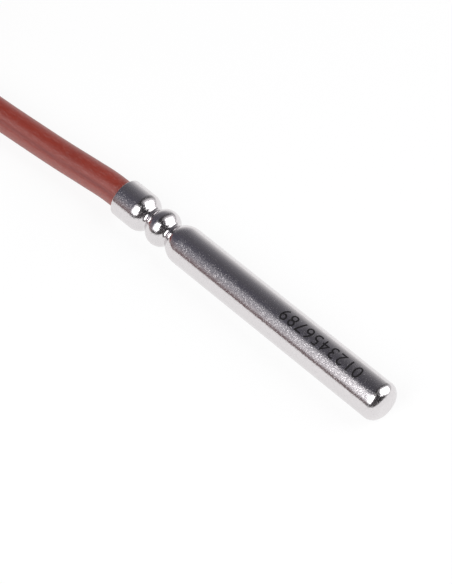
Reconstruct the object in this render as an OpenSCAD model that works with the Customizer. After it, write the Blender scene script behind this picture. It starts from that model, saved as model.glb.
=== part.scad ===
// Resistance temperature probe: a closed stainless sleeve rolled onto a three-core silicone cable.
// The sleeve lies along X with its closed tip towards +X. The origin is below its middle, on the
// surface that it lies on. Millimetres, +Z up. Distances called "from the mouth" run along +X from
// the sleeve's open end.

/* [Sleeve] */
// Outside diameter of the sleeve
sleeve_d = 6; // [5:0.1:8]
// Length of the sleeve from its mouth to its closed tip
sleeve_length = 52; // [44:1:150]
// Thickness of the drawn sheet
sleeve_wall = 0.35; // [0.2:0.05:0.5]
// Rounding of the edge of the closed tip
tip_r = 1.65; // [0.8:0.05:2.2]
// Rounding of the outer edge at the mouth
mouth_edge_r = 0.12; // [0.05:0.01:0.2]

/* [Crimp] */
// Length of the plain collar, from the mouth to its shoulder
collar_length = 3.6; // [2.5:0.1:6]
// Radius of the arc that rolls the collar down into the first groove
collar_shoulder_r = 2.4; // [1.8:0.1:3]
// Distance from the collar's shoulder to the middle of the bead
bead_offset = 4.4; // [4:0.1:5]
// How far the top of the bead stays below the sleeve's surface
bead_drop = 0.12; // [0:0.02:0.3]
// Radius of the arc over the bead
bead_r = 2.1; // [1.7:0.1:2.4]
// Distance from the middle of the bead to the full diameter of the barrel
barrel_offset = 4.8; // [4.4:0.1:5.6]
// Radius of the arc from the second groove up to the barrel
barrel_shoulder_r = 3.4; // [2.8:0.1:4]
// Radius of the rolled bottom of both grooves
groove_r = 0.6; // [0.4:0.05:0.8]
// Gap between the rolled sleeve and the cable in it
crimp_gap = 0.01; // [0:0.01:0.05]

/* [Cable] */
// Outside diameter of the cable's jacket
cable_d = 4.5; // [4:0.1:5.1]
// Outside diameter of each insulated core
core_d = 1.2; // [1:0.05:1.25]
// Diameter of each stranded conductor
conductor_d = 0.6; // [0.4:0.05:0.7]
// Running gap between pieces that are pushed into each other
push_gap = 0.02; // [0.01:0.01:0.04]
// Length of jacket in the sleeve past the crimp
jacket_past_crimp = 2; // [1:0.5:5]

/* [Splices] */
// Length of the white core between the jacket and its splice
white_free = 5.5; // [3:0.5:8]
// Length of each splice
splice_length = 4; // [3:0.5:6]
// Wall of each splice over the conductors
splice_wall = 0.14; // [0.1:0.02:0.16]
// Wall of the insulating tube over each splice
splice_tube_wall = 0.12; // [0.08:0.02:0.14]
// How far the insulating tube reaches past each end of its splice
splice_tube_overlap = 0.4; // [0.2:0.1:0.8]
// Bare conductor between the end of its insulation and the splice
bare_length = 1; // [0.8:0.1:2]

/* [Sensor] */
// Length of the ceramic chip
chip_length = 5; // [4:0.5:8]
// Width of the ceramic chip
chip_w = 2; // [1.6:0.1:2.6]
// Thickness of the ceramic chip
chip_t = 0.65; // [0.4:0.05:1]
// Space between the chip and the inside of the tip
chip_tip_gap = 2.15; // [1.6:0.05:3]
// Thickness of the platinum track
track_t = 0.03; // [0.02:0.01:0.05]
// Width of the platinum track
track_w = 0.1; // [0.08:0.01:0.12]
// Number of runs in the platinum track
track_runs = 8; // [6:2:10]
// Length of each solder pad at the cable end of the chip
pad_length = 1; // [0.8:0.1:1.2]
// Width of each solder pad
pad_w = 0.6; // [0.4:0.05:0.7]
// Thickness of the glass over the track
glass_t = 0.12; // [0.08:0.01:0.2]
// Diameter of each sensor lead
lead_d = 0.2; // [0.15:0.01:0.3]
// Radius of the glass bead over the lead ends
bead_glass_r = 0.65; // [0.5:0.05:0.75]
// Outside diameter of the insulating tube on each sensor lead
lead_tube_d = 0.7; // [0.5:0.05:0.8]
// Length of lead left bare between its tube and the chip
lead_bare = 2.3; // [1.8:0.1:3]

/* [Filling] */
// Wall of the insulating liner in the barrel
liner_wall = 0.25; // [0.15:0.05:0.4]
// Distance from the end of the jacket to the liner
liner_gap = 1; // [0.5:0.5:3]
// How far the heat-conducting compound reaches past the chip towards the cable
compound_past_chip = 1.5; // [1:0.1:2]

/* [Hank and tails] */
// Straight length of the folded cable's sides
hank_straight = 45; // [40:1:60]
// Radius of the innermost turn at its middle line
hank_turn_r = 10.5; // [9:0.5:12]
// Number of turns lying side by side
hank_columns = 2; // [2:1:3]
// Number of turns lying on each other
hank_layers = 3; // [2:1:4]
// Width of each cable tie
tie_w = 2.5; // [2:0.5:4]
// Thickness of each cable tie
tie_t = 0.4; // [0.3:0.1:0.8]
// Gap between the folded cable and its ties
tie_gap = 0.05; // [0.05:0.05:0.3]
// Size of the lock head of each cable tie along X, Y and Z
tie_head = [4, 3, 3.4];
// Distance of the end of the jacket from the far round end's centre line
jacket_end_offset = 7.75; // [6:0.25:12]
// Length of each insulated core past the end of the jacket
tail_length = 24; // [15:1:26]
// Length of each wire ferrule
ferrule_length = 9; // [6:1:10]
// Outside diameter of each wire ferrule
ferrule_d = 1; // [0.9:0.05:1.2]
// Gap between neighbouring cores at the free end
tail_gap = 0.2; // [0.1:0.05:0.25]

/* [Hidden] */
$fn = 96;

// Points of the free cable's middle line, measured from the mouth's X and from the surface.
cable_route = [
    [0, 0, 3],
    [-3, -0.05, 3],
    [-7, -0.35, 2.8],
    [-13, -0.85, 2.45],
    [-19.5, -1.35, 2.25],
    [-26, -1.9, 2.25],
    [-31, -2.25, 2.35],
    [-36, -2.4, 2.65]
];
cable_sides = 10;
lead_sides = 8;

steel = [0.78, 0.78, 0.79];
silicone_red = [0.55, 0.2, 0.16];
core_white_colour = [0.92, 0.91, 0.88];
core_red_colour = [0.75, 0.12, 0.1];
copper_tinned = [0.8, 0.79, 0.76];

sleeve_r = sleeve_d / 2;
bore_r = sleeve_r - sleeve_wall;
mouth_x = -sleeve_length / 2;
cable_r = cable_d / 2;

// Distances from the mouth, in order towards the tip.
bead_u = collar_length + bead_offset;
barrel_u = bead_u + barrel_offset;
jacket_u = barrel_u + jacket_past_crimp;
white_u = jacket_u + white_free;
splice_a_u = white_u + bare_length;
red_u = splice_a_u + splice_length + splice_tube_overlap;
splice_b_u = red_u + bare_length;
tip_inside_u = sleeve_length - sleeve_wall;
chip_u = tip_inside_u - chip_tip_gap - chip_length;
lead_tube_end_u = chip_u - lead_bare;
liner_u = jacket_u + liner_gap;
liner_end_u = sleeve_length - tip_r;
compound_u = chip_u - compound_past_chip;

// Centres of the arcs of the rolled crimp, as [radius, distance from the mouth].
collar_arc = [sleeve_r - collar_shoulder_r, collar_length];
bead_arc = [sleeve_r - bead_drop - bead_r, bead_u];
barrel_arc = [sleeve_r - barrel_shoulder_r, barrel_u];

// Centre of a circle of radius r that touches two circles from outside, on the side away from the axis.
function touching(a, ra, b, rb, r) =
    let (
        l = norm(b - a),
        e = (b - a) / l,
        m = (pow(ra + r, 2) - pow(rb + r, 2) + l * l) / (2 * l),
        h = sqrt(pow(ra + r, 2) - m * m)
    )
    a + m * e + h * [e[1], -e[0]];

groove_1 = touching(collar_arc, collar_shoulder_r, bead_arc, bead_r, groove_r);
groove_2 = touching(bead_arc, bead_r, barrel_arc, barrel_shoulder_r, groove_r);

// The three cores lie in a triangle round the axis: white on the +Y side, the reds on the -Y side.
core_ring_r = (core_d + push_gap) / sqrt(3);
bundle_r = core_ring_r + core_d / 2 + push_gap;
white_yz = [core_ring_r, 0];
red_yz = [for (side = [1, -1]) core_ring_r * [-0.5, side * sqrt(3) / 2]];
splice_yz = [white_yz, [red_yz[0][0], 0]];

// The chip lies flat across the axis, with its track on top.
chip_top = chip_t / 2;
pad_y = chip_w / 4;
lead_z = chip_top + track_t + lead_d / 2;
lead_start_u = chip_u + pad_length * 0.9;
lead_bend_u = chip_u - 0.7;
glass_u = chip_u + pad_length + 0.2;
// An even number of runs brings both ends of the track back to the pads.
run_count = 2 * ceil(track_runs / 2);

// The folded cable.
hank_outer_r = hank_turn_r + (hank_columns - 1) * cable_d + cable_r;
hank_inner_r = hank_turn_r - cable_r;
hank_bottom = tie_t;
hank_height = hank_layers * cable_d;
hank_entry = [mouth_x, 0, 0] + cable_route[len(cable_route) - 1];
hank_near_x = hank_entry[0] - hank_outer_r;
hank_far_x = hank_near_x - hank_straight;
hank_y = hank_entry[1] - (hank_outer_r - cable_r);
hank_middle_x = (hank_near_x + hank_far_x) / 2;
tail_x = hank_far_x + jacket_end_offset;
tail_y = hank_y - hank_turn_r;
tail_floor = hank_bottom + (hank_layers - 1) * cable_d;
tail_pitch = core_d + tail_gap;
tail_z = tail_floor + core_d / 2 + push_gap;

// Puts a piece that is built along +Z on the sleeve's axis, with its foot at a distance from the mouth.
module along(u, yz = [0, 0])
    translate([mouth_x + u, yz[0], sleeve_r + yz[1]])
        rotate([0, 90, 0])
            children();

// Section of the sleeve from its axis out to a given depth under its surface, as [radius, distance].
module sleeve_section(depth) {
    module arc_half(centre, r, low, high)
        intersection() {
            translate(centre)
                circle(r);
            translate([0, low])
                square([sleeve_r, high - low]);
        }
    module groove(a, b, middle)
        difference() {
            polygon([[0, a[1]], [max(a[0], 0), a[1]], middle, [max(b[0], 0), b[1]], [0, b[1]]]);
            translate(middle)
                circle(groove_r + depth);
        }
    translate([0, mouth_edge_r])
        square([sleeve_r - depth, collar_length - mouth_edge_r]);
    arc_half(collar_arc, collar_shoulder_r - depth, collar_length, bead_u);
    groove(collar_arc, bead_arc, groove_1);
    arc_half(bead_arc, bead_r - depth, collar_length, barrel_u);
    groove(bead_arc, barrel_arc, groove_2);
    arc_half(barrel_arc, barrel_shoulder_r - depth, bead_u, barrel_u);
    translate([0, barrel_u])
        square([sleeve_r - depth, liner_end_u - barrel_u]);
    translate([0, barrel_u])
        square([sleeve_r - tip_r, sleeve_length - depth - barrel_u]);
    arc_half([sleeve_r - tip_r, liner_end_u], tip_r - depth, liner_end_u, sleeve_length);
}

// A round tube or rod along +Z.
module tube(d, length, bore = 0)
    difference() {
        cylinder(d = d, h = length);
        if (bore > 0)
            translate([0, 0, -1])
                cylinder(d = bore, h = length + 2);
    }

// Corners of a bent tube's section at one point of its middle line, square to the line there.
// Both ends of the line run along X.
function section_ring(line, i, r, sides) =
    let (
        inner = i > 0 && i < len(line) - 1,
        way = inner ? line[i + 1] - line[i - 1] : [-1, 0, 0],
        t = way / norm(way),
        side = cross([0, 0, 1], t) / norm(cross([0, 0, 1], t)),
        up = cross(t, side)
    )
    [for (k = [0:sides - 1]) line[i] + r * (cos(360 * k / sides) * side - sin(360 * k / sides) * up)];

// A bent tube of constant diameter swept along a line, closed by a flat face at each end.
module bent_tube(line, d, sides) {
    rings = len(line);
    points = [for (i = [0:rings - 1]) each section_ring(line, i, d / 2, sides)];
    walls = [
        for (i = [0:rings - 2], k = [0:sides - 1])
            let (a = i * sides + k, b = i * sides + (k + 1) % sides)
            [a, b, b + sides, a + sides]
    ];
    ends = [
        [for (k = [sides - 1:-1:0]) k],
        [for (k = [0:sides - 1]) (rings - 1) * sides + k]
    ];
    polyhedron(points, concat(walls, ends), convexity = 4);
}

module protective_sleeve()
    color(steel)
        along(0)
            rotate_extrude()
                difference() {
                    union() {
                        sleeve_section(0);
                        square([sleeve_r - mouth_edge_r, collar_length]);
                        translate([sleeve_r - mouth_edge_r, mouth_edge_r])
                            circle(mouth_edge_r);
                    }
                    sleeve_section(sleeve_wall);
                    translate([0, -1])
                        square([bore_r, 1 + collar_length]);
                }

module insulating_liner()
    color("ivory")
        along(liner_u)
            tube(2 * (bore_r - push_gap), liner_end_u - liner_u, 2 * (bore_r - push_gap - liner_wall));

module thermal_compound()
    color("gainsboro")
        difference() {
            along(0)
                rotate_extrude()
                    difference() {
                        intersection() {
                            sleeve_section(sleeve_wall + push_gap);
                            translate([0, compound_u])
                                square([sleeve_r, sleeve_length - compound_u]);
                        }
                        translate([bore_r - liner_wall - 2 * push_gap, compound_u - 1])
                            square([sleeve_r, liner_end_u + push_gap - compound_u + 1]);
                    }
            chip_space();
            for (i = [0, 1])
                lead(i, lead_d + 2 * push_gap);
        }

// Room in the compound for the chip with its glass and its lead bead.
module chip_space()
    translate([mouth_x + chip_u - push_gap, -chip_w / 2 - push_gap, sleeve_r - chip_top - push_gap])
        cube([
            chip_length + 2 * push_gap,
            chip_w + 2 * push_gap,
            chip_t + track_t + max(bead_glass_r, glass_t) + 2 * push_gap
        ]);

module sensor_substrate()
    color("white")
        translate([mouth_x + chip_u, -chip_w / 2, sleeve_r - chip_top])
            cube([chip_length, chip_w, chip_t]);

// Plan of the platinum track: two pads, and runs that are joined at alternate ends.
module track_plan() {
    margin = 0.15;
    run_pitch = (chip_w - 2 * margin - track_w) / (run_count - 1);
    run_u = pad_length + 0.4;
    run_length = chip_length - run_u - margin;
    for (i = [0:run_count - 1])
        translate([run_u, -chip_w / 2 + margin + i * run_pitch])
            square([run_length, track_w]);
    for (i = [0:run_count - 2])
        translate([i % 2 == 0 ? run_u + run_length - track_w : run_u, -chip_w / 2 + margin + i * run_pitch])
            square([track_w, run_pitch + track_w]);
    for (side = [1, -1]) {
        first_y = side * (chip_w / 2 - margin) - (side > 0 ? track_w : 0);
        translate([margin, side * pad_y - pad_w / 2])
            square([pad_length - margin, pad_w]);
        translate([pad_length - track_w, min(first_y, side * pad_y)])
            square([track_w, abs(first_y - side * pad_y) + track_w]);
        translate([pad_length - track_w, first_y])
            square([run_u - pad_length + 2 * track_w, track_w]);
    }
}

module platinum_track()
    color("lightsteelblue")
        translate([mouth_x + chip_u, 0, sleeve_r + chip_top])
            linear_extrude(track_t)
                track_plan();

module cover_glass()
    color([0.6, 0.7, 0.75])
        difference() {
            translate([mouth_x + glass_u, -chip_w / 2, sleeve_r + chip_top])
                cube([chip_u + chip_length - glass_u, chip_w, glass_t]);
            translate([mouth_x + chip_u, 0, sleeve_r + chip_top - 1])
                linear_extrude(1 + track_t)
                    track_plan();
        }

// Rounded bar of glass across the chip that holds the ends of both leads on their pads.
module lead_bead()
    color([0.5, 0.6, 0.75])
        difference() {
            intersection() {
                translate([mouth_x + chip_u + pad_length / 2 + 0.05, -chip_w / 2 + 0.1, sleeve_r + chip_top])
                    rotate([-90, 0, 0])
                        cylinder(r = min(bead_glass_r, pad_length / 2 + 0.05), h = chip_w - 0.2);
                translate([mouth_x + chip_u, -chip_w / 2, sleeve_r + chip_top])
                    cube([pad_length + 0.1, chip_w, bead_glass_r]);
            }
            translate([mouth_x + chip_u, 0, sleeve_r + chip_top - 1])
                linear_extrude(1 + track_t)
                    track_plan();
            for (i = [0, 1])
                lead(i, lead_d);
        }

// Middle line of a sensor lead, from its pad on the chip to its splice.
function lead_points(i) =
    let (
        side = i == 0 ? 1 : -1,
        seat = splice_yz[i],
        end_u = (i == 0 ? splice_a_u : splice_b_u) + splice_length / 2 + push_gap
    )
    [
        [lead_start_u, side * pad_y, lead_z],
        [lead_bend_u, side * pad_y, lead_z],
        [lead_tube_end_u, seat[0], seat[1]],
        [end_u, seat[0], seat[1]]
    ];

module lead(i, d)
    translate([mouth_x, 0, sleeve_r])
        bent_tube(lead_points(i), d, lead_sides);

module sensor_lead_a()
    color(copper_tinned)
        lead(0, lead_d);

module sensor_lead_b()
    color(copper_tinned)
        lead(1, lead_d);

module lead_tube(i) {
    start_u = (i == 0 ? splice_a_u : splice_b_u) + splice_length + splice_tube_overlap + push_gap;
    color("wheat")
        along(start_u, splice_yz[i])
            tube(lead_tube_d, lead_tube_end_u - 0.2 - start_u, lead_d + 2 * push_gap);
}

module lead_tube_a() lead_tube(0);
module lead_tube_b() lead_tube(1);

// Outline of the splice over a stack of conductors at the given heights.
module splice_plan(d, heights) {
    for (h = heights)
        translate([h, 0])
            circle(d = d);
    if (len(heights) > 1)
        translate([min(heights), -d / 2])
            square([max(heights) - min(heights), d]);
}

// A splice holds its conductors in its cable half and one sensor lead in its other half.
module splice(u, yz, heights)
    color("goldenrod")
        along(u, yz)
            difference() {
                linear_extrude(splice_length)
                    splice_plan(conductor_d + 2 * push_gap + 2 * splice_wall, heights);
                for (h = heights)
                    translate([h, 0, -1])
                        cylinder(d = conductor_d + 2 * push_gap, h = 1 + splice_length / 2);
                cylinder(d = lead_d + 2 * push_gap, h = splice_length + 1);
            }

module splice_tube(u, yz, heights) {
    inner_d = conductor_d + 4 * push_gap + 2 * splice_wall;
    color("dimgray")
        along(u - splice_tube_overlap, yz)
            linear_extrude(splice_length + 2 * splice_tube_overlap)
                difference() {
                    splice_plan(inner_d + 2 * splice_tube_wall, heights);
                    splice_plan(inner_d, heights);
                }
}

red_heights = [red_yz[0][1], red_yz[1][1]];

module splice_a() splice(splice_a_u, splice_yz[0], [0]);
module splice_b() splice(splice_b_u, splice_yz[1], red_heights);
module splice_tube_a() splice_tube(splice_a_u, splice_yz[0], [0]);
module splice_tube_b() splice_tube(splice_b_u, splice_yz[1], red_heights);

module core(yz, end_u, colour)
    color(colour)
        along(0, yz)
            tube(core_d, end_u, conductor_d + 2 * push_gap);

module conductor(yz, end_u)
    color(copper_tinned)
        along(0, yz)
            tube(conductor_d, end_u);

module core_white() core(white_yz, white_u, core_white_colour);
module core_red_1() core(red_yz[0], red_u, core_red_colour);
module core_red_2() core(red_yz[1], red_u, core_red_colour);
module conductor_white() conductor(white_yz, splice_a_u + splice_length / 2);
module conductor_red_1() conductor(red_yz[0], splice_b_u + splice_length / 2);
module conductor_red_2() conductor(red_yz[1], splice_b_u + splice_length / 2);

// The end of the jacket in the sleeve, squeezed by both grooves.
module cable_jacket_end()
    color(silicone_red)
        along(0)
            rotate_extrude()
                difference() {
                    intersection() {
                        union() {
                            sleeve_section(sleeve_wall + crimp_gap);
                            square([bore_r - crimp_gap, collar_length]);
                        }
                        square([cable_r, jacket_u]);
                    }
                    translate([0, -1])
                        square([bundle_r, jacket_u + 2]);
                }

// The free cable, from the mouth over the surface to the hank.
module cable_run()
    color(silicone_red)
        translate([mouth_x, 0, 0])
            bent_tube(cable_route, cable_d, cable_sides);

// Outline of the folded cable at a distance from the middle line of its sides.
module hank_outline(r) {
    translate([hank_near_x, hank_y])
        circle(r);
    translate([hank_far_x, hank_y])
        circle(r);
    translate([hank_far_x, hank_y - r])
        square([hank_straight, 2 * r]);
}

module cable_hank()
    color(silicone_red)
        difference() {
            union() {
                translate([0, 0, hank_bottom])
                    linear_extrude(hank_height)
                        difference() {
                            hank_outline(hank_outer_r);
                            hank_outline(hank_inner_r);
                        }
                translate([hank_near_x, hank_entry[1], hank_entry[2]])
                    rotate([0, 90, 0])
                        cylinder(r = cable_r, h = hank_outer_r);
            }
            translate([tail_x, tail_y - cable_r, tail_floor])
                cube([hank_near_x - tail_x, cable_d, cable_d + 1]);
        }

// A cable tie round one side of the hank, with its lock head in the hank's open middle.
module hank_tie(side) {
    inner = [hank_columns * cable_d + 2 * tie_gap, hank_height + 2 * tie_gap];
    color("black")
        translate([hank_middle_x - tie_w / 2, hank_y + side * (hank_inner_r - tie_gap), 0])
            mirror([0, side < 0 ? 1 : 0, 0])
                union() {
                    difference() {
                        translate([0, -tie_t, 0])
                            cube([tie_w, inner[0] + 2 * tie_t, inner[1] + 2 * tie_t - tie_gap]);
                        translate([-1, 0, tie_t - tie_gap])
                            cube([tie_w + 2, inner[0], inner[1]]);
                    }
                    translate([(tie_w - tie_head[0]) / 2, -tie_t - tie_head[1], hank_bottom + cable_d])
                        cube(tie_head + [0, push_gap, 0]);
                }
}

module hank_tie_left() hank_tie(1);
module hank_tie_right() hank_tie(-1);

// Places a piece of one stripped tail: 0 white, 1 and 2 red, at a distance from the cut jacket.
module tail(i, from)
    translate([tail_x + from, tail_y + (i - 1) * tail_pitch, tail_z])
        rotate([0, 90, 0])
            children();

module tail_core(i, colour)
    color(colour)
        tail(i, 0)
            tube(core_d, tail_length, conductor_d + 2 * push_gap);

module tail_conductor(i)
    color(copper_tinned)
        tail(i, 0)
            tube(conductor_d, tail_length + ferrule_length);

module ferrule(i)
    color("lightgray")
        tail(i, tail_length + push_gap)
            tube(ferrule_d, ferrule_length, conductor_d + 2 * push_gap);

module tail_core_white() tail_core(0, core_white_colour);
module tail_core_red_1() tail_core(1, core_red_colour);
module tail_core_red_2() tail_core(2, core_red_colour);
module tail_conductor_white() tail_conductor(0);
module tail_conductor_red_1() tail_conductor(1);
module tail_conductor_red_2() tail_conductor(2);
module ferrule_white() ferrule(0);
module ferrule_red_1() ferrule(1);
module ferrule_red_2() ferrule(2);

protective_sleeve();
insulating_liner();
thermal_compound();
sensor_substrate();
platinum_track();
cover_glass();
lead_bead();
sensor_lead_a();
sensor_lead_b();
lead_tube_a();
lead_tube_b();
splice_a();
splice_b();
splice_tube_a();
splice_tube_b();
core_white();
core_red_1();
core_red_2();
conductor_white();
conductor_red_1();
conductor_red_2();
cable_jacket_end();
cable_run();
cable_hank();
hank_tie_left();
hank_tie_right();
tail_core_white();
tail_core_red_1();
tail_core_red_2();
tail_conductor_white();
tail_conductor_red_1();
tail_conductor_red_2();
ferrule_white();
ferrule_red_1();
ferrule_red_2();
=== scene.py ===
"""Looks of a cable resistance temperature probe.

A closed stainless sleeve is rolled onto a brick-red silicone cable, and the spare cable lies in a
tied hank behind its mouth. Metres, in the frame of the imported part: the sleeve lies along X on
Z = 0, with its closed tip towards +X. Distances called "from the mouth" run along +X.
"""
import logging
import math
from abc import ABC, abstractmethod
from collections.abc import Callable
from dataclasses import dataclass
from enum import Enum

import bmesh
import bpy
import numpy as np
from mathutils import Matrix, Vector


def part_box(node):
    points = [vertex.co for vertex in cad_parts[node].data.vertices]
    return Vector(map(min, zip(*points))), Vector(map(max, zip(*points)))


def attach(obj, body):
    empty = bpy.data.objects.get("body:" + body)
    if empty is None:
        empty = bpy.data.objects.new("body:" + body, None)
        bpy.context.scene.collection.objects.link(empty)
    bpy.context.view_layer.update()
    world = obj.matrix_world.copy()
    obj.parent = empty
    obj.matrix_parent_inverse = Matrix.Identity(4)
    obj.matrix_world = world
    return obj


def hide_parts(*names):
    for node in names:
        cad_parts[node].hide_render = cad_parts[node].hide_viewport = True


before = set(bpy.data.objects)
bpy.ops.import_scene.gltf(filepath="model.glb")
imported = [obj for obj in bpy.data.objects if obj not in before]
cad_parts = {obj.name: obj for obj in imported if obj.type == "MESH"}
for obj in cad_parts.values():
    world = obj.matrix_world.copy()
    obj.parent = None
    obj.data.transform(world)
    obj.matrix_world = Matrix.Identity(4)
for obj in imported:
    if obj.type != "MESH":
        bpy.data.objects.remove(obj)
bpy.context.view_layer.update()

MM = 0.001
BODY = "root"
CREASE = "crease"
Array = np.ndarray
Colour = tuple[float, float, float]
log = logging.getLogger("probe")


def operator(operation: str, own_first: bool = True) -> Callable:
    """An arithmetic method of Value that adds a Math node, reflected if its own number is last."""

    def method(self: "Value", other: "Value | float") -> "Value":
        """The result of the node."""
        return self.tree.math(operation, *((self, other) if own_first else (other, self)))

    return method


@dataclass
class Value:
    """An output socket that holds a number: Python arithmetic on it adds Math nodes."""

    tree: "Tree"
    socket: bpy.types.NodeSocket

    __add__, __radd__ = operator("ADD"), operator("ADD", own_first=False)
    __sub__, __rsub__ = operator("SUBTRACT"), operator("SUBTRACT", own_first=False)
    __mul__, __rmul__ = operator("MULTIPLY"), operator("MULTIPLY", own_first=False)

    def __neg__(self) -> "Value":
        """The same number with its sign turned."""
        return self.tree.math("MULTIPLY", self, -1.0)


class Tree:
    """Builds the node tree of one material or of the world."""

    def __init__(self, owner: bpy.types.Material | bpy.types.World) -> None:
        """Empties the owner's tree.

        Args:
            owner: the material or world to shade.
        """
        owner.use_nodes = True
        self.nodes = owner.node_tree.nodes
        self.links = owner.node_tree.links
        self.nodes.clear()

    def node(
        self, kind: str, settings: dict | None = None, sockets: dict | None = None,
    ) -> bpy.types.Node:
        """Adds a node.

        Args:
            kind: the node's type, without its ShaderNode prefix.
            settings: its properties, set first; "stops" holds a ramp's (place, colour) pairs.
            sockets: values or links by socket name or number.

        Returns:
            The new node.
        """
        made = self.nodes.new("ShaderNode" + kind)
        for name, value in (settings or {}).items():
            if name == "stops":
                ramp = made.color_ramp.elements
                while len(ramp) < len(value):
                    ramp.new(0.5)
                for element, (place, colour) in zip(ramp, value):
                    element.position = place
                    element.color = (*colour, 1.0)
            else:
                setattr(made, name, value)
        for key, value in (sockets or {}).items():
            if isinstance(value, Value):
                value = value.socket
            if isinstance(value, bpy.types.NodeSocket):
                self.links.new(value, made.inputs[key])
            elif isinstance(value, tuple) and made.inputs[key].type == "RGBA":
                made.inputs[key].default_value = (*value, 1.0)
            else:
                made.inputs[key].default_value = value
        return made

    def math(self, operation: str, *numbers: "Value | float") -> Value:
        """A Math node on one to three numbers."""
        made = self.node("Math", {"operation": operation}, dict(enumerate(numbers)))
        return Value(self, made.outputs[0])

    def step(self, value: Value, low: float, high: float) -> Value:
        """A smooth step.

        Args:
            value: the number that it reads.
            low: where it is 0.
            high: where it is 1.

        Returns:
            The step, from 0 to 1.
        """
        settings = {"interpolation_type": "SMOOTHSTEP"}
        sockets = {"Value": value, "From Min": low, "From Max": high}
        return Value(self, self.node("MapRange", settings, sockets).outputs[0])

    def place(self, scale: tuple[float, float, float] = (1, 1, 1)) -> bpy.types.NodeSocket:
        """Object coordinates in metres, stretched by a scale along each axis."""
        source = self.node("TexCoord").outputs["Object"]
        return self.node("Mapping", None, {"Vector": source, "Scale": scale}).outputs[0]

    def parts(self, vector: bpy.types.NodeSocket) -> tuple[Value, Value, Value]:
        """A vector's three numbers."""
        split = self.node("SeparateXYZ", None, {0: vector})
        return tuple(Value(self, output) for output in split.outputs)

    def noise(
        self, vector: bpy.types.NodeSocket, scale: float, detail: float = 2.0, rough: float = 0.5,
    ) -> Value:
        """Noise around 0.5, with its features about 1 / scale wide."""
        sockets = {"Vector": vector, "Scale": scale, "Detail": detail, "Roughness": rough}
        return Value(self, self.node("TexNoise", None, sockets).outputs[0])

    def specks(self, vector: bpy.types.NodeSocket, scale: float, size: float) -> Value:
        """Sparse round specks: 1 inside a speck of that share of a cell's width, 0 between them."""
        cell = self.node("TexVoronoi", None, {"Vector": vector, "Scale": scale})
        return 1 - self.step(Value(self, cell.outputs["Distance"]), 0.5 * size, size)

    def mix(self, factor: Value, first: object, second: object) -> bpy.types.NodeSocket:
        """The colour between two colours, the first at factor 0."""
        return self.node("Mix", {"data_type": "RGBA"}, {0: factor, 6: first, 7: second}).outputs[2]

    def bump(self, height: Value, depth: float) -> bpy.types.NodeSocket:
        """The normal of a relief, from its height of 0 to 1 and its depth in metres."""
        sockets = {"Height": height, "Distance": depth, "Strength": 1.0}
        return self.node("Bump", None, sockets).outputs[0]

    def principled(self, sockets: dict) -> None:
        """Ends the tree in one Principled shader with these sockets."""
        shader = self.node("BsdfPrincipled", None, sockets)
        self.node("OutputMaterial", None, {"Surface": shader.outputs[0]})


class Finish(ABC):
    """A surface finish that becomes one material."""

    @abstractmethod
    def shade(self, tree: Tree) -> None:
        """Builds the finish in an empty tree."""

    def material(self) -> bpy.types.Material:
        """The finish's material, made once and shared by all pieces that have it.

        Returns:
            The material.
        """
        found = bpy.data.materials.get(self.name)
        if found is None:
            found = bpy.data.materials.new(self.name)
            self.shade(Tree(found))
        return found


@dataclass(frozen=True)
class DrawnSteel(Finish):
    """Bright deep-drawn stainless: a fine grain along the sleeve, and a speckle of tiny pits."""

    name: str = "drawn_steel"
    colour: Colour = (0.742, 0.716, 0.724)
    roughness: float = 0.130
    frost_rough: float = 0.22
    pit_rough: float = 0.2
    dull_share: float = 0.86
    relief: float = 0.0000075

    def shade(self, tree: Tree) -> None:
        """Frosted specks, pits, grain and a slow change of gloss drive roughness and relief.

        Args:
            tree: the empty tree.
        """
        grain = tree.noise(tree.place((900, 14000, 14000)), 1.0, 3.0, 0.6)
        mottle = tree.noise(tree.place(), 5600.0)
        speckle = tree.noise(tree.place(), 12000.0, rough=0.6)
        pits = tree.specks(tree.place(), 3600.0, 0.20)
        slow = tree.noise(tree.place(), 260.0)
        frost = tree.step(mottle, 0.46, 0.76)
        shadow = frost * 0.6 + pits * 0.4
        dull = tuple(self.dull_share * part for part in self.colour)
        gloss = self.roughness + self.frost_rough * frost + 0.06 * (grain - 0.5)
        gloss = gloss + 0.05 * (slow - 0.5) + self.pit_rough * pits
        tree.principled({
            "Base Color": tree.mix(shadow, self.colour, dull),
            "Metallic": 1.0,
            "Roughness": gloss,
            "Normal": tree.bump(0.75 * mottle + 0.25 * speckle, self.relief),
        })


@dataclass(frozen=True)
class Print(Finish):
    """Dark laser print, a little uneven."""

    name: str = "laser_print"
    colour: Colour = (0.009, 0.008, 0.009)
    thin_colour: Colour = (0.040, 0.037, 0.040)

    def shade(self, tree: Tree) -> None:
        """Fine noise lightens the dark layer where the beam left it thin."""
        thin = tree.step(tree.noise(tree.place(), 9000.0, rough=0.6), 0.52, 0.85)
        tree.principled({
            "Base Color": tree.mix(thin, self.colour, self.thin_colour),
            "Roughness": 0.40 + 0.2 * thin,
            "Specular IOR Level": 0.3,
        })


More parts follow.
